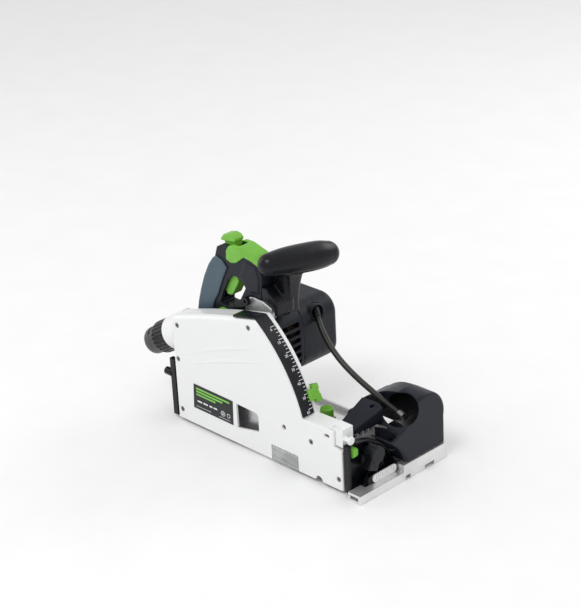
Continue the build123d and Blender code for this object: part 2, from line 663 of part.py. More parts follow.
nodes["scoring_cover"] = make_scoring_cover()
nodes["scoring_motor"] = make_scoring_motor()
nodes["scoring_rotor"] = make_scoring_rotor()
nodes["scoring_arm"] = make_scoring_arm()
nodes["scoring_spindle"] = make_scoring_spindle()
nodes["scoring_blade"] = make_scoring_blade()
nodes["scoring_nut"] = make_scoring_nut()
nodes["scoring_belt"] = make_scoring_belt()
nodes["scoring_adjuster"] = make_scoring_adjuster()
nodes["scoring_depth_knob"] = make_scoring_depth_knob()


# --- plunging saw unit -----------------------------------------------------------------------
ARBOR_TEETH, IDLER_TEETH, PINION_TEETH = 33, 28, 12
GEAR_LINE = degrees(atan2(MOTOR_Z - ARBOR_Z, MOTOR_X - ARBOR_X))
IDLER_X, IDLER_Z = polar(ARBOR_X, ARBOR_Z, (ARBOR_TEETH + IDLER_TEETH) / 2, GEAR_LINE)
PINION_X, PINION_Z = polar(IDLER_X, IDLER_Z, (IDLER_TEETH + PINION_TEETH) / 2, GEAR_LINE)
GEAR_Y0, GEAR_Y1 = -43.5, -33.5
CASE_RIGHT, CASE_LEFT = -47.0, -27.0
NOSE_RADIUS, NOSE_END = 20.0, -59.6


def case_outline(margin=0.0):
    """Gear case outline round the arbor, the intermediate shaft and the motor shaft."""
    lower = strap(ARBOR_X, ARBOR_Z, 20.8 - margin, IDLER_X, IDLER_Z, 22 - margin)
    return lower + strap(IDLER_X, IDLER_Z, 22 - margin, MOTOR_X, MOTOR_Z, 34 - margin)


def make_gear_case():
    case = along_y(case_outline(), CASE_RIGHT, CASE_LEFT)
    # swing arm back to the plunge pivot
    case += along_y(strap(PIVOT_X, PIVOT_Z, 13, -72, 108, 20), CASE_RIGHT, CASE_LEFT - 3)
    # bracket up to the handles
    tower = along_y(polygon((-92, 150), (-45, 150), (-18, 186), (-18, 198), (-34, 204), (-64, 206)), -38.5, CASE_LEFT)
    case += tower - along_y(handle_outline(), CASE_RIGHT, 0)
    case += rod_y(ARBOR_X, ARBOR_Z, NOSE_RADIUS, NOSE_END, CASE_RIGHT)
    case -= along_y(case_outline(2.6), CASE_RIGHT + 2.5, CASE_LEFT + 1)
    case -= rod_y(ARBOR_X, ARBOR_Z, 14, -58, -40)
    case -= rod_y(ARBOR_X, ARBOR_Z, 7, -61, -40)
    case -= rod_y(PIVOT_X, PIVOT_Z, 6 + RUNNING_FIT, -50, -20)
    case += rod_y(IDLER_X, IDLER_Z, 5, CASE_RIGHT + 1, GEAR_Y0 - 0.4)
    case -= rod_y(IDLER_X, IDLER_Z, 3 + RUNNING_FIT, CASE_RIGHT + 0.8, GEAR_Y0)
    case += rod_y(*LEVER_PIVOT, 4, -40.2, -38)
    return case


LEVER_PIVOT = (-60.0, 199.0)


def make_bearing_plate():
    """Lid of the gear case with the seats of the bearings on the motor side."""
    plate = along_y(case_outline(), CASE_LEFT, MOTOR_FRONT_Y)
    plate += rod_y(ARBOR_X, ARBOR_Z, 13, CASE_LEFT - 4, MOTOR_FRONT_Y)
    plate -= rod_y(ARBOR_X, ARBOR_Z, 11, CASE_LEFT - 5, MOTOR_FRONT_Y - 0.8)
    plate -= rod_y(MOTOR_X, MOTOR_Z, 11, CASE_LEFT - 1, MOTOR_FRONT_Y + 1)
    plate -= rod_y(IDLER_X, IDLER_Z, 3 + RUNNING_FIT, CASE_LEFT - 1, MOTOR_FRONT_Y + 1)
    return plate


def make_bearings():
    arbor_front = bearing(ARBOR_X, ARBOR_Z, 6, 14, -58, -49)
    arbor_back = bearing(ARBOR_X, ARBOR_Z, 5, 11, CASE_LEFT - 4, MOTOR_FRONT_Y - 0.8)
    motor_front = bearing(MOTOR_X, MOTOR_Z, 4, 11, CASE_LEFT, MOTOR_FRONT_Y + 4)
    motor_back = bearing(MOTOR_X, MOTOR_Z, 4, 10, 72, 80)
    return arbor_front + arbor_back + motor_front + motor_back


def make_arbor():
    shaft = rod_y(ARBOR_X, ARBOR_Z, 6 - 0.02, -58.4, GEAR_Y1)
    shaft += rod_y(ARBOR_X, ARBOR_Z, 5 - 0.02, GEAR_Y1, CASE_LEFT + 1)
    shaft += rod_y(ARBOR_X, ARBOR_Z, BLADE_BORE, BLADE_Y - 0.8, -60.2) & rod_y(ARBOR_X, ARBOR_Z, 10, -66, -58)
    shaft += rod_y(ARBOR_X, ARBOR_Z, 6, -61, -58.3)
    return shaft - rod_y(ARBOR_X, ARBOR_Z, 4, -66, -52)


def make_blade_flanges():
    inner = rod_y(ARBOR_X, ARBOR_Z, 17, BLADE_Y + 0.9, -60.2) - rod_y(ARBOR_X, ARBOR_Z, 10, -70, -60)
    outer = rod_y(ARBOR_X, ARBOR_Z, 17, -67.6, BLADE_Y - 0.9)
    outer -= rod_y(ARBOR_X, ARBOR_Z, 4, -70, -60)
    return inner + outer


def make_blade_screw():
    screw = rod_y(ARBOR_X, ARBOR_Z, 8, -72, -67.6) + rod_y(ARBOR_X, ARBOR_Z, 4, -67.6, -52)
    return screw - along_y(Pos(ARBOR_X, ARBOR_Z) * RegularPolygon(4, 6), -73, -69)


def make_saw_blade():
    blade = along_y(toothed_disc(ARBOR_X, ARBOR_Z, BLADE_RADIUS, BLADE_TEETH, 6), BLADE_Y - 0.9, BLADE_Y + 0.9)
    return blade - rod_y(ARBOR_X, ARBOR_Z, BLADE_BORE, -70, -60)


def make_gear(x, z, teeth, phase, bore):
    gear = along_y(gear_outline(x, z, teeth, phase), GEAR_Y0, GEAR_Y1)
    return gear - rod_y(x, z, bore, GEAR_Y0 - 1, GEAR_Y1 + 1)


def make_idler_shaft():
    return rod_y(IDLER_X, IDLER_Z, 3, CASE_RIGHT + 1, MOTOR_FRONT_Y - 0.4)


def make_rotor():
    shaft = rod_y(MOTOR_X, MOTOR_Z, 3.98, GEAR_Y0, 79)
    core = rod_y(MOTOR_X, MOTOR_Z, 19, 4, 56)
    pinion = along_y(gear_outline(MOTOR_X, MOTOR_Z, PINION_TEETH, PINION_PHASE), GEAR_Y0, GEAR_Y1)
    return shaft + core + pinion


def make_fan():
    fan = rod_y(MOTOR_X, MOTOR_Z, 32, -16, -14) + rod_y(MOTOR_X, MOTOR_Z, 8, -16, -4)
    for vane in range(12):
        radial = Pos(MOTOR_X, MOTOR_Z) * Rot(0, 0, 30 * vane) * Pos(20, 0) * Rectangle(23, 1.4)
        fan += along_y(radial, -14, -5)
    return fan - rod_y(MOTOR_X, MOTOR_Z, 4, -20, 0)


def make_stator():
    ring = rod_y(MOTOR_X, MOTOR_Z, 36, 4, 56) - rod_y(MOTOR_X, MOTOR_Z, 20, 0, 60)
    for slot in range(12):
        radial = Pos(MOTOR_X, MOTOR_Z) * Rot(0, 0, 30 * slot) * Pos(26, 0) * Rectangle(10, 4)
        ring -= along_y(radial, 0, 60)
    return ring


MOTOR_WIDTH, MOTOR_HEIGHT, MOTOR_CORNER = 88.0, 94.0, 26.0
MOTOR_BODY_Z = 129.0


def motor_outline(margin=0.0):
    size = (MOTOR_WIDTH - 2 * margin, MOTOR_HEIGHT - 2 * margin)
    return Pos(MOTOR_X, MOTOR_BODY_Z) * RectangleRounded(*size, MOTOR_CORNER - margin)


def make_motor_housing():
    body = along_y(motor_outline(), MOTOR_FRONT_Y, MOTOR_SPLIT_Y)
    body -= along_y(motor_outline(3), MOTOR_FRONT_Y + 3, MOTOR_SPLIT_Y + 1)
    body -= along_y(case_outline(8) & disc(MOTOR_X, MOTOR_Z, 12), MOTOR_FRONT_Y - 1, MOTOR_FRONT_Y + 4)
    for row in range(6):
        z = MOTOR_Z - 34 + 11 * row
        body -= block(MOTOR_X + 30, MOTOR_X + 50, -18, 14, z, z + 7)
        body -= block(MOTOR_X - 50, MOTOR_X - 30, -10, 12, z, z + 5)
    return body


MOTOR_FACE_X = MOTOR_X + MOTOR_WIDTH / 2
GLAND_CUP = (47.5, 160.5)


def make_motor_cap():
    cap = along_y(motor_outline(), MOTOR_SPLIT_Y, MOTOR_END_Y)
    cap = fillet(cap.faces().sort_by(Axis.Y)[-1].edges(), 9)
    cap -= along_y(motor_outline(3), MOTOR_SPLIT_Y - 1, MOTOR_END_Y - 3.5)
    cap += rod_y(MOTOR_X, MOTOR_Z, 13, 71, MOTOR_END_Y - 3) - rod_y(MOTOR_X, MOTOR_Z, 10, 70, 80)
    cap += along_y(motor_outline(1.0) - motor_outline(3.4), 34, 36) - rod_y(MOTOR_X, MOTOR_Z, 36, 30, 60)
    cap += rod_x(*GLAND_CUP, 13, MOTOR_FACE_X - 10, MOTOR_FACE_X - 1)
    cap -= rod_x(*GLAND_CUP, 11, MOTOR_FACE_X - 8, MOTOR_FACE_X + 5)
    cap -= extrude(GLAND_PLANE.offset(-9) * Circle(6.1), amount=30)
    for row in range(5):
        z = MOTOR_Z - 22 + 9 * row
        cap -= block(MOTOR_X - 20, MOTOR_X + 20, MOTOR_END_Y - 4, MOTOR_END_Y + 1, z, z + 4)
    return cap


def make_control_board():
    board = block(MOTOR_X - 31, MOTOR_X + 31, 60, 62, 91, 110)
    for part_x in (-90, -74, -58, -44):
        board += block(part_x, part_x + 8, 62, 68, 94, 106)
    return board


def make_lead():
    """Lead from the motor's end cap to the scoring unit: straight runs joined by tangent arcs."""
    points = [Vector(*point) for point in LEAD_ROUTE]
    radii = []
    for before, corner, after in zip(points, points[1:], points[2:]):
        turn = (corner - before).get_angle(after - corner)
        shorter = min((corner - before).length, (after - corner).length)
        radii.append(0.45 * shorter / tan(radians(turn) / 2))
    print("lead radii", [round(radius, 1) for radius in radii])
    path = FilletPolyline(*points, radius=radii)
    tube = sweep(Plane(origin=points[0], z_dir=points[1] - points[0]) * Circle(LEAD_RADIUS), path=path)
    print("lead length", round(path.length, 1), "volume ratio", tube.volume / (path.length * pi * LEAD_RADIUS**2))
    return tube


def make_lead_gland():
    """Strain relief of the scoring unit's lead: a bush behind the lead's end and a tapered sleeve round it."""
    bush = extrude(GLAND_PLANE.offset(-6) * Circle(6), amount=6)
    sleeve = loft([GLAND_PLANE * Circle(6), GLAND_PLANE.offset(12) * Circle(5)])
    return bush + sleeve - extrude(GLAND_PLANE * Circle(LEAD_RADIUS), amount=20)


KNIFE_INNER, KNIFE_OUTER = 87.0, 99.0
KNIFE_BOSS = 93.0


def make_riving_knife():
    """Knife behind the blade on an arm whose ring turns round the gear case's nose."""
    knife = along_y(ring_sector(ARBOR_X, ARBOR_Z, KNIFE_INNER, KNIFE_OUTER, 166, 214), BLADE_Y - 0.7, BLADE_Y + 0.7)
    boss = polar(ARBOR_X, ARBOR_Z, KNIFE_BOSS, 172)
    carrier = rod_y(ARBOR_X, ARBOR_Z, 26, -58.8, -55.6)
    carrier += along_y(strap(*polar(ARBOR_X, ARBOR_Z, 22, 172), 5, *boss, 6), -58.8, -55.6)
    carrier += rod_y(*boss, 5.5, BLADE_Y, -58)
    carrier -= rod_y(ARBOR_X, ARBOR_Z, NOSE_RADIUS + RUNNING_FIT, -60, -54)
    return knife + carrier


# --- handles -----------------------------------------------------------------------------------
FRAME_RIGHT, FRAME_LEFT = HANDLE_Y - 13, HANDLE_Y + 13
TRIGGER_PIVOT = (-98.0, 233.0)
DIAL = (-111.0, 163.0)


def handle_outline():
    outline = Polyline(
        (-160, 134), (-156, 170), (-149.5, 190), (-141, 211), (-131, 229), (-123, 243), (-117, 260), (-106, 266),
        (-84, 266.8), (-62, 262.5), (-46, 256.5), (-36, 248), (-34, 236), (-36, 207), (-58, 204), (-84, 158),
        (-98, 138), (-108, 119), (-120, 117.6), (-158, 117.6), close=True,
    )
    return make_face(outline)


def shell_outline():
    return polygon((-99, 247), (-98, 260), (-93, 267), (-86, 270), (-73, 269.8), (-50, 263.4), (-33, 256.5),
                   (-35, 250.5), (-50, 255.8), (-64, 258), (-73, 251), (-80, 246), (-90, 243.5))


def make_handle_frame():
    frame = along_y(handle_outline(), FRAME_RIGHT, FRAME_LEFT)
    opening = polygon((-117, 178), (-110, 196), (-98, 218), (-88, 226), (-74, 224), (-66, 214), (-80, 190), (-90, 177))
    frame -= along_y(opening, FRAME_RIGHT - 1, FRAME_LEFT + 1)
    # slot of the trigger, raised panels, and slot of the plunge button's stem
    frame -= block(-124, -79, HANDLE_Y - 8.6, HANDLE_Y + 8.6, 184, 246)
    panel = polygon((-74, 230), (-62, 252), (-44, 250), (-39, 236), (-40, 214), (-56, 213))
    frame += along_y(panel, FRAME_RIGHT - 1.6, FRAME_LEFT + 1.6)
    frame -= rod_y(*TRIGGER_PIVOT, 2, -37, -13)
    frame -= rod_y(*DIAL, 11.4, FRAME_RIGHT - 1, FRAME_RIGHT + 9)
    frame -= along_y(motor_outline(-0.2), MOTOR_FRONT_Y - 0.2, 0)
    frame -= along_y(case_outline(-0.2), CASE_RIGHT, MOTOR_FRONT_Y)
    frame -= block(-109, -79, HANDLE_Y - 7, HANDLE_Y + 7, 256, 272)
    return frame


def make_grip():
    """Soft cover over the rear of the main handle."""
    outer = polygon((-167, 132), (-164, 151), (-159.5, 171), (-153, 191), (-145, 211), (-135, 230), (-125, 243),
                    (-117, 247), (-106, 243), (-98, 234), (-107, 217), (-113.5, 203), (-119, 190), (-127, 178),
                    (-133, 160), (-135, 132))
    skin = along_y(outer, FRAME_RIGHT - 2.5, FRAME_LEFT + 2.5)
    skin = fillet(skin.edges().filter_by(Axis.Y, reverse=True), 2.0)
    skin -= along_y(handle_outline(), FRAME_RIGHT, FRAME_LEFT)
    skin -= block(-124.5, -79, HANDLE_Y - 9, HANDLE_Y + 9, 184, 246)
    skin -= along_y(motor_outline(-0.4), MOTOR_FRONT_Y - 0.4, 0)
    return skin - along_y(shell_outline(), FRAME_RIGHT - 2.4, FRAME_LEFT + 2.4)


def make_handle_shell():
    """Green saddle over the front top of the main handle."""
    shell = along_y(shell_outline(), FRAME_RIGHT - 2.2, FRAME_LEFT + 2.2)
    shell = fillet(shell.edges().filter_by(Axis.Y, reverse=True), 1.0)
    shell -= along_y(handle_outline(), FRAME_RIGHT, FRAME_LEFT)
    return shell - block(-111, -77, HANDLE_Y - 8, HANDLE_Y + 8, 255, 290)


def make_plunge_button():
    profile = polygon((-113.6, 268.6), (-113.2, 272), (-108, 278), (-98, 280.4), (-90, 279.2), (-86.4, 276), (-86, 271.8))
    button = along_y(profile, HANDLE_Y - 9, HANDLE_Y + 9)
    button = fillet(button.edges().filter_by(Axis.Y, reverse=True).sort_by(Axis.Z)[2:], 2)
    return button + block(-108, -87, HANDLE_Y - 6.6, HANDLE_Y + 6.6, 258, 271.5)


def make_trigger():
    profile = polygon((-111, 238), (-86, 238), (-84, 216), (-97, 194), (-107, 192), (-113, 204))
    body = along_y(profile, HANDLE_Y - 8.2, HANDLE_Y + 8.2)
    body = fillet(body.edges().filter_by(Axis.Y).sort_by(Axis.Z)[:2], 3)
    return body + rod_y(*TRIGGER_PIVOT, 2 - RUNNING_FIT, -36.8, -13.2)


def make_speed_dial():
    dial = rod_y(*DIAL, 10.8, FRAME_RIGHT - 1.5, FRAME_RIGHT + 8.6)
    for notch in range(18):
        x, z = polar(*DIAL, 11.2, 20 * notch)
        dial -= rod_y(x, z, 0.9, FRAME_RIGHT - 2, FRAME_RIGHT + 9)
    return dial


def make_mains_socket():
    """Plug-in inlet for the mains lead under the handle."""
    plane = Plane(origin=(-140, -25, 119.6), z_dir=(-0.25, 0, -1))
    sleeve = extrude(plane * Circle(11.5), amount=20) - extrude(plane.offset(4) * Circle(9), amount=20)
    for x in (-3.5, 3.5):
        sleeve += extrude(plane.offset(4) * Pos(x, 0) * Circle(1.2), amount=12)
    return sleeve & block(-170, -110, -45, 0, 90, 117.4)


T_START = Vector(-17, -38, 261)
T_END = Vector(-2, 51, 251.5)


def make_aux_handle():
    """T-shaped front handle: a tapered bar on a waisted neck, with a foot on the main handle's front."""
    axis = T_END - T_START
    grip = Plane(origin=T_START, z_dir=axis)
    stations = ((0.0, 15.5), (0.12, 17.2), (0.35, 19.0), (0.65, 19.4), (0.88, 18.6), (1.0, 16.5))
    bar = loft([grip.offset(axis.length * along) * Circle(radius) for along, radius in stations])
    bar += Pos(*T_START) * Sphere(15.5) + Pos(*T_END) * Sphere(16.5)
    lower = Plane(origin=(-27, -7, 184)) * RectangleRounded(36, 32, 9)
    middle = Plane(origin=(-24, -5, 214)) * RectangleRounded(31, 31, 9)
    upper = Plane(origin=(-18, -4, 250)) * RectangleRounded(33, 46, 10)
    neck = loft([lower, middle, upper])
    foot = polygon((-57, 205.6), (-33.4, 207.4), (-14, 200), (-14, 188), (-8, 190), (-8, 206), (-28, 224), (-54, 222))
    handle = bar + neck + along_y(foot, -38, -8)
    handle -= along_y(shell_outline(), FRAME_RIGHT - 2.4, FRAME_LEFT + 2.4)
    return handle - along_y(handle_outline(), FRAME_RIGHT - 1.8, FRAME_LEFT + 1.8)


def make_change_lever():
    """Blade change lever on the side of the gear case's bracket."""
    lever = along_y(strap(*LEVER_PIVOT, 6, -82, 186, 4), -46, -40.4)
    lever += block(-90, -80, -46.6, -40.4, 180, 190)
    return lever - rod_y(*LEVER_PIVOT, 2.05, -50, -38)


def make_plunge_spring():
    """Torsion spring round the plunge pivot, between the pin's head and the swing arm."""
    coil = Helix(pitch=2.4, height=4.8, radius=9.6)
    wire = sweep(Plane(origin=coil @ 0, z_dir=coil % 0) * Circle(0.9), path=coil)
    return Pos(PIVOT_X, SPRING_Y, PIVOT_Z) * Rot(-90, 0, 0) * wire


IDLER_PHASE = GEAR_LINE + 180 + 180 / IDLER_TEETH
PINION_PHASE = GEAR_LINE + 180

nodes["gear_case"] = make_gear_case()
nodes["bearing_plate"] = make_bearing_plate()
nodes["bearings"] = make_bearings()
nodes["arbor"] = make_arbor()
nodes["blade_flanges"] = make_blade_flanges()
nodes["blade_screw"] = make_blade_screw()
nodes["saw_blade"] = make_saw_blade()
nodes["arbor_gear"] = make_gear(ARBOR_X, ARBOR_Z, ARBOR_TEETH, GEAR_LINE, 5.98)
nodes["idler_gear"] = make_gear(IDLER_X, IDLER_Z, IDLER_TEETH, IDLER_PHASE, 2.95) + make_idler_shaft()
nodes["motor_rotor"] = make_rotor()
nodes["cooling_fan"] = make_fan()
nodes["motor_stator"] = make_stator()
nodes["motor_housing"] = make_motor_housing()
nodes["motor_cap"] = make_motor_cap()
nodes["control_board"] = make_control_board()
nodes["lead_gland"] = make_lead_gland()
nodes["scoring_lead"] = make_lead()
nodes["riving_knife"] = make_riving_knife()
nodes["handle_frame"] = make_handle_frame()
nodes["rear_grip"] = make_grip()
nodes["handle_shell"] = make_handle_shell()
nodes["plunge_button"] = make_plunge_button()
nodes["trigger"] = make_trigger()
nodes["speed_dial"] = make_speed_dial()
nodes["mains_socket"] = make_mains_socket()
nodes["aux_handle"] = make_aux_handle()
nodes["change_lever"] = make_change_lever()
nodes["plunge_spring"] = make_plunge_spring()

for name, solid in nodes.items():
    export_step(solid, f"parts/{name}.step")
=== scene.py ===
"""Studio picture of a track plunge saw with a scoring unit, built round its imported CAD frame."""

import json
import math

import bmesh
import bpy
import numpy as np
from mathutils import Matrix, Vector


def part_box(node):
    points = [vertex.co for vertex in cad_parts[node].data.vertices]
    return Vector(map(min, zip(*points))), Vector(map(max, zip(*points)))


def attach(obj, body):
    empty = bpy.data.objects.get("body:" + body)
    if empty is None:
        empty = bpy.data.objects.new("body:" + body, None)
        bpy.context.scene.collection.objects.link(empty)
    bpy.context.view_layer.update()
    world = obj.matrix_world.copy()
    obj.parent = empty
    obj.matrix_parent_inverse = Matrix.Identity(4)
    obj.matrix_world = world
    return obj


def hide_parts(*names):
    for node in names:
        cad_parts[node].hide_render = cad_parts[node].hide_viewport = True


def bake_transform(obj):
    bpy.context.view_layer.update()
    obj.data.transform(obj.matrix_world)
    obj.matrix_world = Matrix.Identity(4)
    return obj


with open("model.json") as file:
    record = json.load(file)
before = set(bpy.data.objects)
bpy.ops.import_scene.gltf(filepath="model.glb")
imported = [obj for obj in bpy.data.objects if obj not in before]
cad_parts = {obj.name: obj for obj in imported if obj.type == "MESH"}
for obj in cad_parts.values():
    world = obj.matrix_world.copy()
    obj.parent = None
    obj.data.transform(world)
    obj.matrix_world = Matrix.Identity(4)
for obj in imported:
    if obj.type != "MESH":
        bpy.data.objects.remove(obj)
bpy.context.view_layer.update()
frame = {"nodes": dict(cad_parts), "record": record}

MM = 0.001


def mm(x, y, z):
    """A point of the row frame, given in millimetres."""
    return Vector((x * MM, y * MM, z * MM))


# --- camera, light and floor -------------------------------------------------------------------
# the photograph's viewing angle in degrees; places and reaches are in metres
VIEW_AZIMUTH, VIEW_ELEVATION, VIEW_ROLL = 46.69, 24.56, -3.04
CAMERA_PLACE = (1.5695, -1.5004, 1.1904)
LENS_MM, SENSOR_MM = 109.07, 36.0
WORLD_STRENGTH = 0.74
# name, place, size and power of each lamp
LAMPS = (
    ("key", (0.2, -1.3, 2.1), (1.0, 0.7), 15),
    ("side", (-1.9, -0.7, 0.9), (0.9, 1.4), 5),
    ("rim", (0.3, 1.8, 1.4), (1.6, 0.7), 10),
)
LAMP_AIM = Vector((0, 0, 0.1))
FLOOR_REACH = 12.0
FLOOR_DROP = 0.0003


def add_camera():
    azimuth, elevation, roll = map(math.radians, (VIEW_AZIMUTH, VIEW_ELEVATION, VIEW_ROLL))
    right = Vector((math.cos(azimuth), math.sin(azimuth), 0))
    level = Vector((-math.sin(azimuth), math.cos(azimuth), 0))
    forward = level * math.cos(elevation) - Vector((0, 0, 1)) * math.sin(elevation)
    up = right.cross(forward)
    turn = Matrix.Rotation(-roll, 3, forward)
    rotation = Matrix((turn @ right, turn @ up, -forward)).transposed()
    data = bpy.data.cameras.new("camera")
    data.lens = LENS_MM
    data.sensor_width = SENSOR_MM
    data.clip_end = 50.0
    camera = bpy.data.objects.new("camera", data)
    camera.matrix_world = Matrix.Translation(CAMERA_PLACE) @ rotation.to_4x4()
    bpy.context.scene.collection.objects.link(camera)
    bpy.context.scene.camera = camera


def add_area_light(name, place, size, power):
    data = bpy.data.lights.new(name, "AREA")
    data.shape = "RECTANGLE"
    data.size, data.size_y = size
    data.energy = power
    lamp = bpy.data.objects.new(name, data)
    lamp.location = place
    lamp.rotation_euler = (LAMP_AIM - Vector(place)).to_track_quat("-Z", "Y").to_euler()
    bpy.context.scene.collection.objects.link(lamp)


def add_studio():
    world = bpy.data.worlds.new("studio")
    world.use_nodes = True
    background = world.node_tree.nodes["Background"]
    background.inputs["Color"].default_value = (1, 1, 1, 1)
    background.inputs["Strength"].default_value = WORLD_STRENGTH
    scene = bpy.context.scene
    scene.world = world
    scene.view_settings.view_transform = "Standard"
    scene.view_settings.look = "None"
    for lamp in LAMPS:
        add_area_light(*lamp)
    mesh = bpy.data.meshes.new("floor")
    corners = [(x * FLOOR_REACH, y * FLOOR_REACH, 0) for x, y in ((-1, -1), (1, -1), (1, 1), (-1, 1))]
    mesh.from_pydata(corners, [], [(0, 1, 2, 3)])
    floor = bpy.data.objects.new("floor", mesh)
    floor.location.z = -FLOOR_DROP
    bpy.context.scene.collection.objects.link(floor)
    paper = make_material("floor_paper", (0.93, 0.93, 0.93), 0.6, grain=300, bump=0.02, variation=0.01)
    mesh.materials.append(paper)


# --- materials -----------------------------------------------------------------------------------
def noise_node(tree, vector, scale, detail=4.0):
    node = tree.nodes.new("ShaderNodeTexNoise")
    node.inputs["Scale"].default_value = scale
    node.inputs["Detail"].default_value = detail
    tree.links.new(vector, node.inputs["Vector"])
    return node.outputs["Fac"]


def range_node(tree, value, low_in, high_in, low_out, high_out):
    node = tree.nodes.new("ShaderNodeMapRange")
    limits = {"From Min": low_in, "From Max": high_in, "To Min": low_out, "To Max": high_out}
    for socket, number in limits.items():
        node.inputs[socket].default_value = number
    tree.links.new(value, node.inputs["Value"])
    return node.outputs["Result"]


def mix_colours(tree, share, first, second):
    node = tree.nodes.new("ShaderNodeMix")
    node.data_type = "RGBA"
    for socket, colour in ((node.inputs[6], first), (node.inputs[7], second)):
        if isinstance(colour, (tuple, list)):
            socket.default_value = (*colour[:3], 1)
        else:
            tree.links.new(colour, socket)
    tree.links.new(share, node.inputs[0])
    return node.outputs[2]


BROAD_PER_GRAIN = 1 / 22
BROAD_LOW, BROAD_HIGH = 0.3, 0.7
EDGE_STARTS, EDGE_FULL = 0.515, 0.58
COAT_ROUGHNESS = 0.12
RELIEF_HEIGHT = 0.00006


def make_material(
    name, colour, roughness, metallic=0.0, variation=0.05, grain=900.0, bump=0.1,
    stretch=(1, 1, 1), wear=0.0, worn=None, coat=0.0, spread=0.08, specular=0.5,
):
    """A surface with uneven colour and gloss, a fine grain, and wear along its raised edges."""
    material = bpy.data.materials.new(name)
    material.use_nodes = True
    tree = material.node_tree
    shader = tree.nodes["Principled BSDF"]
    shader.inputs["Metallic"].default_value = metallic
    shader.inputs["Specular IOR Level"].default_value = specular
    shader.inputs["Coat Weight"].default_value = coat
    shader.inputs["Coat Roughness"].default_value = COAT_ROUGHNESS
    coords = tree.nodes.new("ShaderNodeTexCoord")
    mapping = tree.nodes.new("ShaderNodeMapping")
    mapping.inputs["Scale"].default_value = stretch
    tree.links.new(coords.outputs["Object"], mapping.inputs["Vector"])
    place = mapping.outputs["Vector"]
    broad = noise_node(tree, place, grain * BROAD_PER_GRAIN)
    fine = noise_node(tree, place, grain, 2.0)
    low = tuple(max(0, c * (1 - variation)) for c in colour)
    high = tuple(min(1, c * (1 + variation)) for c in colour)
    shade = mix_colours(tree, range_node(tree, broad, BROAD_LOW, BROAD_HIGH, 0, 1), low, high)
    glossy, dull = roughness - spread / 2, roughness + spread / 2
    rough = range_node(tree, broad, BROAD_LOW, BROAD_HIGH, glossy, dull)
    if wear:
        geometry = tree.nodes.new("ShaderNodeNewGeometry")
        edge = range_node(tree, geometry.outputs["Pointiness"], EDGE_STARTS, EDGE_FULL, 0, wear)
        patchy = tree.nodes.new("ShaderNodeMath")
        patchy.operation = "MULTIPLY"
        tree.links.new(edge, patchy.inputs[0])
        tree.links.new(range_node(tree, broad, 0.35, 0.65, 0.4, 1), patchy.inputs[1])
        rubbed = worn or tuple(min(1, c * 2.2 + 0.05) for c in colour)
        shade = mix_colours(tree, patchy.outputs[0], shade, rubbed)
    tree.links.new(shade, shader.inputs["Base Color"])
    tree.links.new(rough, shader.inputs["Roughness"])
    relief_node = tree.nodes.new("ShaderNodeBump")
    relief_node.inputs["Strength"].default_value = bump
    relief_node.inputs["Distance"].default_value = RELIEF_HEIGHT
    tree.links.new(fine, relief_node.inputs["Height"])
    tree.links.new(relief_node.outputs["Normal"], shader.inputs["Normal"])
    return material


def make_clear():
    material = make_material(
        "clear_guard", (0.93, 0.95, 0.95), 0.09, grain=200, bump=0.03, variation=0.02, spread=0.05,
    )
    material.node_tree.nodes["Principled BSDF"].inputs["Transmission Weight"].default_value = 0.85
    return material


# metres across the housing's wall, where the white paint gives way to bare casting
PAINT_ENDS_Y, BARE_STARTS_Y = -0.0499, -0.0494


def make_housing_finish():
    """White paint outside and bare casting on the left, where the saw unit moves along the wall."""
    material = make_material(
        "housing_paint", (0.84, 0.845, 0.85), 0.3, grain=420, bump=0.1, variation=0.006, coat=0.2,
    )
    tree = material.node_tree
    shader = tree.nodes["Principled BSDF"]
    coords = tree.nodes["Texture Coordinate"]
    split = tree.nodes.new("ShaderNodeSeparateXYZ")
    tree.links.new(coords.outputs["Object"], split.inputs["Vector"])
    bare = range_node(tree, split.outputs["Y"], PAINT_ENDS_Y, BARE_STARTS_Y, 0, 1)
    paint = shader.inputs["Base Color"].links[0].from_socket
    mottle = noise_node(tree, coords.outputs["Object"], 260)
    cast = mix_colours(tree, mottle, (0.55, 0.555, 0.56), (0.68, 0.68, 0.675))
    tree.links.new(mix_colours(tree, bare, paint, cast), shader.inputs["Base Color"])
    return material


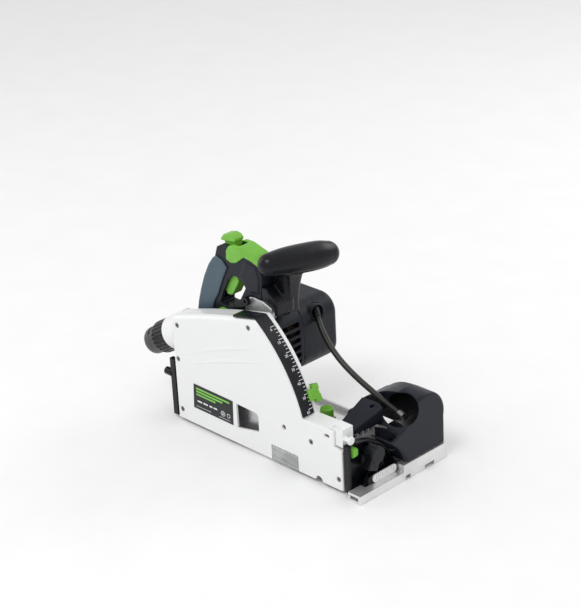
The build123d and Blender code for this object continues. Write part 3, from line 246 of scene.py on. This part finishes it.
M = {
    "white_paint": make_material(
        "white_paint", (0.84, 0.845, 0.85), 0.26, grain=420, bump=0.12, variation=0.006, coat=0.3,
        spread=0.03),
    "housing": make_housing_finish(),
    "cast": make_material(
        "cast_aluminium", (0.62, 0.625, 0.63), 0.42, metallic=0.85, grain=700, bump=0.35, variation=0.08,
        wear=0.3),
    "milled": make_material(
        "milled_aluminium", (0.72, 0.72, 0.715), 0.34, metallic=0.8, grain=500, bump=0.25, variation=0.07,
        stretch=(0.05, 1, 1), wear=0.25),
    "dark_metal": make_material(
        "dark_metal", (0.28, 0.28, 0.29), 0.35, metallic=1, grain=900, bump=0.15, variation=0.1),
    "bright": make_material(
        "bright_steel", (0.6, 0.6, 0.61), 0.25, metallic=1, grain=1200, bump=0.15, variation=0.06),
    "blade": make_material(
        "blade_steel", (0.56, 0.56, 0.57), 0.3, metallic=1, grain=900, bump=0.2, variation=0.08),
    "anthracite": make_material(
        "anthracite", (0.009, 0.011, 0.018), 0.4, grain=1900, bump=0.3, variation=0.12,
        wear=0.2, worn=(0.04, 0.046, 0.06), specular=0.26),
    "black": make_material(
        "black_plastic", (0.004, 0.0045, 0.007), 0.28, grain=1500, bump=0.15, variation=0.15,
        wear=0.25, worn=(0.022, 0.024, 0.032), specular=0.28),
    "grey_black": make_material(
        "spigot_plastic", (0.035, 0.035, 0.037), 0.4, grain=1500, bump=0.18, variation=0.15,
        wear=0.3, worn=(0.08, 0.08, 0.085)),
    "green": make_material(
        "green_plastic", (0.16, 0.46, 0.035), 0.3, grain=900, bump=0.12, variation=0.06,
        wear=0.3, worn=(0.3, 0.62, 0.12)),
    "blue_grey": make_material(
        "soft_grip", (0.055, 0.095, 0.125), 0.5, grain=2200, bump=0.5, variation=0.08,
        wear=0.3, worn=(0.14, 0.2, 0.24)),
    "label": make_material(
        "label_film", (0.014, 0.016, 0.019), 0.3, grain=600, bump=0.05, variation=0.1, specular=0.3),
    "print_white": make_material(
        "print_white", (0.85, 0.85, 0.85), 0.45, grain=1500, bump=0.1, variation=0.04),
    "print_green": make_material(
        "print_green", (0.2, 0.55, 0.06), 0.4, grain=1500, bump=0.1, variation=0.05),
    "clear": make_clear(),
    "windings": make_material(
        "windings", (0.035, 0.024, 0.018), 0.5, metallic=0.3, grain=1200, bump=0.4, variation=0.2),
    "board": make_material(
        "circuit_board", (0.04, 0.16, 0.08), 0.4, grain=900, bump=0.2, variation=0.2),
    "lead": make_material(
        "lead_sheath", (0.014, 0.0135, 0.009), 0.34, grain=1400, bump=0.2, variation=0.12),
}

NODES_OF_FINISH = {
    "milled": ("sole_plate",),
    "black": (
        "bevel_brackets", "front_clamp_knob", "rear_clamp_knob", "depth_scale", "front_segment",
        "rear_segment", "depth_stop_button", "dust_collar", "dust_spigot", "lead_gland", "mains_socket",
        "aux_handle", "cooling_fan", "change_lever"),
    "dark_metal": (
        "base_bolts", "cover_screws", "scoring_motor", "scoring_rotor", "scoring_nut", "blade_screw",
        "motor_rotor"),
    "print_white": ("bevel_scale_label",),
    "green": (
        "front_gib_knob", "rear_gib_knob", "bevel_stop_slider", "depth_stop", "scoring_depth_knob",
        "handle_shell", "trigger", "plunge_button", "speed_dial"),
    "housing": ("blade_housing", "scoring_adjuster"),
    "white_paint": ("side_cover",),
    "clear": ("splinter_guard",),
    "label": ("rating_label",),
    "bright": (
        "plunge_pin", "plunge_spring", "scoring_spindle", "bearings", "arbor", "arbor_gear", "blade_flanges",
        "idler_gear", "riving_knife"),
    "anthracite": ("scoring_cover", "scoring_arm", "motor_housing", "motor_cap", "handle_frame"),
    "lead": ("scoring_belt", "scoring_lead"),
    "blade": ("scoring_blade", "saw_blade"),
    "cast": ("gear_case", "bearing_plate"),
    "windings": ("motor_stator",),
    "board": ("control_board",),
    "blue_grey": ("rear_grip",),
}
FINISH = {node: finish for finish, nodes in NODES_OF_FINISH.items() for node in nodes}
BODIES = frame["record"]["behaviour"]["bodies"]
BODY_OF = {node: body for body, names in BODIES.items() for node in names}


def paint_frame():
    for node, finish in FINISH.items():
        target = frame["nodes"][node]
        target.data.materials.clear()
        target.data.materials.append(M[finish])


# --- helpers for new pieces ----------------------------------------------------------------------
def add_piece(name, mesh, finish, body, smooth=True):
    piece = bpy.data.objects.new(name, mesh)
    bpy.context.scene.collection.objects.link(piece)
    mesh.materials.clear()
    mesh.materials.append(M[finish])
    for polygon in mesh.polygons:
        polygon.use_smooth = smooth
    if body:
        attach(piece, body)
    return piece


def finished_mesh(piece):
    """The piece's mesh with its modifiers applied; the piece itself is removed."""
    graph = bpy.context.evaluated_depsgraph_get()
    mesh = bpy.data.meshes.new_from_object(piece.evaluated_get(graph))
    bpy.data.objects.remove(piece)
    return mesh


def press_groove(mesh, point, normal, half_width, depth):
    """A parting seam: vertices near a plane sink along their normals."""
    count = len(mesh.vertices)
    places = np.empty(count * 3)
    normals = np.empty(count * 3)
    mesh.vertices.foreach_get("co", places)
    mesh.vertices.foreach_get("normal", normals)
    places, normals = places.reshape(-1, 3), normals.reshape(-1, 3)
    away = np.abs((places - np.array(point)) @ np.array(Vector(normal).normalized()))
    sink = np.clip(1 - away / half_width, 0, 1)[:, None] * depth
    mesh.vertices.foreach_set("co", (places - normals * sink).ravel())
    mesh.update()


def moulded(node, voxel, rounds, keep, seam=None):
    """A moulded or cast copy of a CAD node, with rounded edges and perhaps a parting seam in its mesh."""
    copy = bpy.data.objects.new(node + "_draft", frame["nodes"][node].data.copy())
    bpy.context.scene.collection.objects.link(copy)
    remesh = copy.modifiers.new("remesh", "REMESH")
    remesh.mode = "VOXEL"
    remesh.voxel_size = voxel * MM
    soften = copy.modifiers.new("soften", "SMOOTH")
    soften.iterations = rounds
    soften.factor = 0.5
    mesh = finished_mesh(copy)
    if seam:
        point, normal, half_width, depth = seam
        press_groove(mesh, mm(*point), normal, half_width * MM, depth * MM)
    draft = bpy.data.objects.new(node + "_thin", mesh)
    bpy.context.scene.collection.objects.link(draft)
    draft.modifiers.new("thin", "DECIMATE").ratio = keep
    mesh = finished_mesh(draft)
    mesh.name = node + "_shape"
    piece = add_piece(node + "_shape", mesh, FINISH[node], BODY_OF[node])
    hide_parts(node)


# --- the scoring unit's lead ---------------------------------------------------------------------
LEAD_ROUTE = (
    (-27.0, 49.0, 164.0),
    (-9.5, 40.0, 148.0),
    (9.0, 36.5, 128.0),
    (32.0, 35.0, 110.5),
    (62.0, 34.0, 96.0),
    (92.0, 33.0, 85.5),
    (118.0, 31.5, 77.5),
    (139.0, 29.5, 73.0),
)
LEAD_DIAMETER = 0.008
TUBE_SIDES = 20


def route_line(route, resolution=14):
    """Points of the smooth NURBS line through a cord's route."""
    curve = bpy.data.curves.new("route", "CURVE")
    curve.dimensions = "3D"
    spline = curve.splines.new("NURBS")
    spline.points.add(len(route) - 1)
    for point, place in zip(spline.points, route):
        point.co = (*mm(*place), 1)
    spline.order_u = 3
    spline.use_endpoint_u = True
    spline.resolution_u = resolution
    line = bpy.data.objects.new("route", curve)
    bpy.context.scene.collection.objects.link(line)
    mesh = finished_mesh(line)
    return [vertex.co.copy() for vertex in mesh.vertices]


def tube_mesh(name, path, radius):
    """Round tube along a path, its rings carried along without twist."""
    shape = bmesh.new()
    side = (path[1] - path[0]).orthogonal().normalized()
    rings = []
    for index, place in enumerate(path):
        ahead = path[min(index + 1, len(path) - 1)] - path[max(index - 1, 0)]
        ahead.normalize()
        side = (side - ahead * side.dot(ahead)).normalized()
        across = ahead.cross(side)
        ring = []
        for step in range(TUBE_SIDES):
            turn = math.tau * step / TUBE_SIDES
            ring.append(shape.verts.new(place + radius * (side * math.cos(turn) + across * math.sin(turn))))
        rings.append(ring)
    for first, second in zip(rings, rings[1:]):
        for step in range(TUBE_SIDES):
            after = (step + 1) % TUBE_SIDES
            shape.faces.new((first[step], first[after], second[after], second[step]))
    shape.faces.new(reversed(rings[0]))
    shape.faces.new(rings[-1])
    mesh = bpy.data.meshes.new(name)
    shape.to_mesh(mesh)
    shape.free()
    return mesh


def add_lead():
    path = route_line(LEAD_ROUTE)
    sheath = tube_mesh("lead_sheath", path, LEAD_DIAMETER / 2)
    lead = add_piece("scoring_lead_sheath", sheath, "lead", None)
    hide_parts("scoring_lead")
    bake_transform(lead)


# --- turned parts --------------------------------------------------------------------------------
def lathe(name, origin, axis, profile, segments, shape_of):
    """Ring turned round an axis. profile gives (along, radius) in mm; shape_of changes a ring's radius."""
    axis = Vector(axis).normalized()
    side = Vector((0, 1, 0))
    side = (side - axis * side.dot(axis)).normalized()
    across = axis.cross(side)
    origin = mm(*origin)
    shape = bmesh.new()
    rings = []
    for index, (along, radius) in enumerate(profile):
        ring = []
        for step in range(segments):
            turn = math.tau * step / segments
            reach = radius + shape_of(index, turn)
            place = side * math.cos(turn) + across * math.sin(turn)
            ring.append(shape.verts.new(origin + (axis * along + place * reach) * MM))
        rings.append(ring)
    for first, second in zip(rings, rings[1:] + rings[:1]):
        for step in range(segments):
            after = (step + 1) % segments
            shape.faces.new((first[step], first[after], second[after], second[step]))
    bmesh.ops.recalc_face_normals(shape, faces=shape.faces)
    mesh = bpy.data.meshes.new(name)
    shape.to_mesh(mesh)
    shape.free()
    return mesh


# profiles give the distance along the port's axis and the radius, in mm
DUST_ORIGIN = (-195.0, -53.0, 117.5)
DUST_AXIS = (-math.cos(math.radians(30)), 0.0, -math.sin(math.radians(30)))
COLLAR_PROFILE = (
    (0.2, 17.7), (0.2, 22.6), (0.9, 23.4), (3.4, 23.4), (4.2, 23.3), (24.0, 23.3), (25.0, 23.2), (28.6, 23.2),
    (30.2, 22.6), (31.0, 21.2), (31.0, 17.7),
)
COLLAR_SEGMENTS, COLLAR_RIBS, RIB_DEPTH, RIB_STEEPNESS = 288, 24, 1.5, 1.4
RIBBED_RINGS = (3, 4, 5, 6)
SPIGOT_PROFILE = (
    (-7.0, 15.0), (-7.0, 17.5), (31.1, 17.5), (31.1, 19.3), (41.0, 19.4), (41.6, 19.4), (45.4, 19.4),
    (46.0, 19.4), (54.0, 19.2), (55.4, 18.2), (56.0, 17.2), (56.0, 15.0),
)
SPIGOT_SEGMENTS = 160
SLOTTED_RINGS = (5, 6)
# where the spigot's slot lies round the axis and half its width, in radians, and its depth in mm
SLOT_TURN, SLOT_HALF_TURN, SLOT_DEPTH = 4.2, 0.42, 2.2
SHARP_EDGE = math.radians(35)


def add_dust_port():
    """Ribbed swivel collar and slotted spigot of the dust port."""
    def ribbed(index, turn):
        if index not in RIBBED_RINGS:
            return 0
        wave = 0.5 - RIB_STEEPNESS * math.cos(COLLAR_RIBS * turn)
        return -RIB_DEPTH * max(0.0, min(1.0, wave))

    mesh = lathe("collar_shape", DUST_ORIGIN, DUST_AXIS, COLLAR_PROFILE, COLLAR_SEGMENTS, ribbed)
    collar = add_piece("dust_collar_ribbed", mesh, "black", "dust_port")
    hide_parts("dust_collar")

    def slotted(index, turn):
        from_slot = abs(math.remainder(turn - SLOT_TURN, math.tau))
        return -SLOT_DEPTH if index in SLOTTED_RINGS and from_slot < SLOT_HALF_TURN else 0

    mesh = lathe("spigot_shape", DUST_ORIGIN, DUST_AXIS, SPIGOT_PROFILE, SPIGOT_SEGMENTS, slotted)
    spigot = add_piece("dust_spigot_tube", mesh, "grey_black", "dust_port")
    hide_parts("dust_spigot")
    for piece in (collar, spigot):
        piece.data.set_sharp_from_angle(angle=SHARP_EDGE)


# --- printing: depth scale, rating label, bevel label --------------------------------------------
# millimetres and degrees; the pivot is the plunge pin's x and z
PIVOT = (-147.0, 21.0)
STRIP_RADIUS = 228.5
STRIP_LEFT = -57.6
FIRST_MARK, LAST_MARK = 47.6, 18.4
MARKS, MARKS_PER_NUMBER, DEPTH_PER_MARK = 24, 4, 2.5
LONG_TICK, SHORT_TICK, TICK_HEIGHT, TICK_RISE = 7.5, 4.2, 0.75, 0.14
DIGIT_SIZE, DIGIT_RISE, DIGIT_TURN, DIGIT_OFFSET = 5.2, 0.08, 0.95, 8.6
COVER_PRINT_Y = -78.6
LABEL_TILT = -0.6
PRINT_RISE = 0.12
EDGE_SHARE = 0.12


def wrapped(mesh, angle, y):
    """Lays a flat mesh (x across the strip, y up the strip) onto the scale's curved face."""
    for vertex in mesh.vertices:
        along, up, proud = vertex.co
        turn = math.radians(angle) + up / (STRIP_RADIUS * MM)
        reach = STRIP_RADIUS * MM + proud
        x, z = PIVOT[0] * MM + reach * math.cos(turn), PIVOT[1] * MM + reach * math.sin(turn)
        vertex.co = (x, y * MM + along, z)
    return mesh


def bar_mesh(width, height, thick):
    """Flat bar with bevelled upper edges, centred in x and y, its underside at z 0."""
    shape = bmesh.new()
    inset = min(width, height) * EDGE_SHARE
    foot, top = (
        [shape.verts.new((x, y, z)) for y in (-half_height, half_height) for x in (-half_width, half_width)]
        for half_width, half_height, z in (
            (width / 2, height / 2, 0), (width / 2 - inset, height / 2 - inset, thick))
    )
    for corners in (
        (top[0], top[1], top[3], top[2]),
        (foot[0], foot[2], foot[3], foot[1]),
        (foot[0], top[0], top[2], foot[2]),
        (foot[1], foot[3], top[3], top[1]),
        (foot[0], foot[1], top[1], top[0]),
        (foot[3], foot[2], top[2], top[3]),
    ):
        shape.faces.new(corners)
    bmesh.ops.recalc_face_normals(shape, faces=shape.faces)
    mesh = bpy.data.meshes.new("bar")
    shape.to_mesh(mesh)
    shape.free()
    return mesh


def digit_mesh(words, size, thick):
    """Raised print of a number, centred on its origin."""
    curve = bpy.data.curves.new("digits", "FONT")
    curve.body = words
    curve.size = size
    curve.extrude = thick
    curve.align_x = "CENTER"
    curve.align_y = "CENTER"
    piece = bpy.data.objects.new("digits", curve)
    bpy.context.scene.collection.objects.link(piece)
    return finished_mesh(piece)


def joined(name, meshes):
    """One mesh from several."""
    shape = bmesh.new()
    for mesh in meshes:
        shape.from_mesh(mesh)
    whole = bpy.data.meshes.new(name)
    shape.to_mesh(whole)
    shape.free()
    return whole


def add_depth_marks():
    parts = []
    for mark in range(MARKS + 1):
        angle = FIRST_MARK + (LAST_MARK - FIRST_MARK) * mark / MARKS
        numbered = mark % MARKS_PER_NUMBER == 0
        width = LONG_TICK if numbered else SHORT_TICK
        tick = bar_mesh(width * MM, TICK_HEIGHT * MM, TICK_RISE * MM)
        parts.append(wrapped(tick, angle, STRIP_LEFT - width / 2))
        if numbered:
            number = digit_mesh(str(int(mark * DEPTH_PER_MARK)), DIGIT_SIZE * MM, DIGIT_RISE * MM)
            parts.append(wrapped(number, angle - DIGIT_TURN, STRIP_LEFT - DIGIT_OFFSET))
    mesh = joined("scale_print", parts)
    add_piece("depth_scale_print", mesh, "print_white", "housing", smooth=False)


def on_cover(mesh, x, z, turn=0.0):
    """Lays a flat mesh on the rating label of the cover's right face."""
    cosine, sine = math.cos(math.radians(turn)), math.sin(math.radians(turn))
    y = COVER_PRINT_Y * MM
    for vertex in mesh.vertices:
        along, up, proud = vertex.co
        vertex.co = (x * MM + along * cosine - up * sine, y - proud, z * MM + along * sine + up * cosine)
    return mesh


RING_SIDES = 40


def ring_mesh(radius, width, thick):
    """Flat ring in the x-y plane."""
    shape = bmesh.new()
    turns = [math.tau * k / RING_SIDES for k in range(RING_SIDES)]
    loops = []
    for reach, height in ((radius, 0), (radius, thick), (radius - width, thick), (radius - width, 0)):
        places = [(reach * math.cos(turn), reach * math.sin(turn), height) for turn in turns]
        loops.append([shape.verts.new(place) for place in places])
    for first, second in zip(loops, loops[1:] + loops[:1]):
        for k in range(RING_SIDES):
            after = (k + 1) % RING_SIDES
            shape.faces.new((first[k], first[after], second[after], second[k]))
    mesh = bpy.data.meshes.new("ring")
    shape.to_mesh(mesh)
    shape.free()
    return mesh


# x, z, width and height in mm of each printed bar on the label, and x and radius of each ring
GREEN_BARS = ((-100, 61.2, 66, 2.6), (-107, 56.8, 52, 2.6), (-114, 52.4, 38, 2.6))
WHITE_BARS = ((-127, 42.6, 9, 2.2), (-115.5, 42.6, 9, 2.2), (-105, 42.6, 6, 2.2), (-96, 42.6, 7, 2.2))
FINE_BARS = ((-78, 33.6, 22, 0.5), (-120, 34.4, 30, 0.5))
LABEL_RINGS = ((-81, 4.0), (-70, 3.2), (-81, 1.8))
RING_Z, RING_WIDTH = 40.5, 0.7


def label_bars(bars, turn):
    return [
        on_cover(bar_mesh(width * MM, height * MM, PRINT_RISE * MM), x, z, turn)
        for x, z, width, height in bars
    ]


def add_rating_print():
    """Generic print on the black label: plain stripes and rings instead of words."""
    green = joined("label_stripes", label_bars(GREEN_BARS, LABEL_TILT))
    add_piece("label_stripes", green, "print_green", "housing", smooth=False)
    parts = label_bars(WHITE_BARS, LABEL_TILT)
    for x, radius in LABEL_RINGS:
        parts.append(on_cover(ring_mesh(radius * MM, RING_WIDTH * MM, PRINT_RISE * MM), x, RING_Z))
    white = joined("label_marks", parts + label_bars(FINE_BARS, 0.0))
    add_piece("label_marks", white, "print_white", "housing", smooth=False)


BEVEL_TICKS = 10
BEVEL_TICK_WIDTH, BEVEL_LONG_TICK, BEVEL_SHORT_TICK, BEVEL_TICK_RISE = 0.35, 6.0, 3.5, 0.1
BEVEL_SIDE_MARGIN, BEVEL_TOP_MARGIN = 6.0, 1.5


def add_bevel_print():
    """Degree ticks on the white bevel label at the front."""
    low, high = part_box("bevel_scale_label")
    parts = []
    for mark in range(BEVEL_TICKS):
        tall = (BEVEL_LONG_TICK if mark % 3 == 0 else BEVEL_SHORT_TICK) * MM
        tick = bar_mesh(BEVEL_TICK_WIDTH * MM, tall, BEVEL_TICK_RISE * MM)
        room = high[1] - low[1] - 2 * BEVEL_SIDE_MARGIN * MM
        y = low[1] + BEVEL_SIDE_MARGIN * MM + room * mark / (BEVEL_TICKS - 1)
        z = high[2] - BEVEL_TOP_MARGIN * MM - tall / 2
        for vertex in tick.vertices:
            along, up, proud = vertex.co
            vertex.co = (high[0] + proud, y + along, z + up)
        parts.append(tick)
    add_piece("bevel_label_print", joined("bevel_print", parts), "label", "base", smooth=False)


# --- embossed creases of the cover -----------------------------------------------------------------
CREASES = (
    ((-151.6, 106.8), (-112.4, 124.1), (-74.4, 138.8), (-33.6, 151.9), (-1.9, 159.8)),
    ((-146.7, 93.4), (-109.9, 108.3), (-67.9, 122.7), (-27.2, 134.8), (12.2, 143.8)),
)
CREASE_Y = -77.99
CREASE_HALF_WIDTH, CREASE_RISE, CREASE_THICKNESS = 3.2, 0.5, 0.1
CREASE_STEPS = 8
CREASE_FADE = 0.6


def crease_mesh(points):
    """Low ridge on the cover's face along a smooth line, fading out at both ends."""
    line = route_line([(x, CREASE_Y, z) for x, z in points], 20)
    shape = bmesh.new()
    rows = []
    for index, place in enumerate(line):
        ahead = (line[min(index + 1, len(line) - 1)] - line[max(index - 1, 0)]).normalized()
        side = ahead.cross(Vector((0, 1, 0)))
        fade = math.sin(math.pi * (index + 0.5) / len(line)) ** CREASE_FADE
        row = []
        for step in range(CREASE_STEPS + 1):
            share = 2 * step / CREASE_STEPS - 1
            lift = CREASE_RISE * fade * math.cos(share * math.pi / 2) ** 2
            aside = side * (share * CREASE_HALF_WIDTH * fade * MM)
            row.append(shape.verts.new(place + aside - Vector((0, lift * MM, 0))))
        rows.append(row)
    for first, second in zip(rows, rows[1:]):
        for step in range(CREASE_STEPS):
            shape.faces.new((first[step], first[step + 1], second[step + 1], second[step]))
    bmesh.ops.recalc_face_normals(shape, faces=shape.faces)
    bmesh.ops.solidify(shape, geom=shape.faces[:], thickness=CREASE_THICKNESS * MM)
    mesh = bpy.data.meshes.new("crease")
    shape.to_mesh(mesh)
    shape.free()
    return mesh


def add_creases():
    for number, points in enumerate(CREASES, 1):
        add_piece(f"cover_crease_{number}", crease_mesh(points), "white_paint", "housing")


# --- moulded and cast parts ------------------------------------------------------------------------
# node, voxel in mm, rounds of smoothing and share of the faces kept
MOULDED = (
    ("aux_handle", 0.9, 20, 0.5),
    ("handle_frame", 0.9, 5, 0.4),
    ("rear_grip", 0.8, 14, 0.4),
    ("handle_shell", 0.8, 26, 0.5),
    ("plunge_button", 0.6, 22, 0.5),
    ("trigger", 0.5, 14, 0.5),
    ("motor_housing", 1.0, 3, 0.4),
    ("motor_cap", 1.0, 4, 0.4),
    ("scoring_cover", 0.9, 3, 0.4),
    ("front_clamp_knob", 0.45, 4, 0.4),
    ("rear_clamp_knob", 0.45, 4, 0.4),
    ("depth_stop", 0.5, 3, 0.5),
    ("change_lever", 0.4, 4, 0.5),
    ("scoring_depth_knob", 0.4, 2, 0.5),
    ("scoring_adjuster", 0.5, 3, 0.5),
    ("gear_case", 1.0, 3, 0.4),
    ("bevel_brackets", 0.7, 3, 0.4),
    ("front_segment", 0.6, 3, 0.4),
    ("rear_segment", 0.6, 3, 0.4),
)
# point, normal, half width and depth in mm of each parting seam
SEAMS = {
    "aux_handle": ((-9, 7, 257), (0.16, 0.0, 0.3), 0.6, 0.55),
    "motor_cap": ((-65, 52, 129), (0, 1, 0), 0.6, 0.6),
}


def add_moulded_parts():
    for node, voxel, rounds, keep in MOULDED:
        moulded(node, voxel, rounds, keep, SEAMS.get(node))


add_camera()
add_lead()
add_studio()
paint_frame()
add_dust_port()
add_moulded_parts()
add_depth_marks()
add_rating_print()
add_bevel_print()
add_creases()
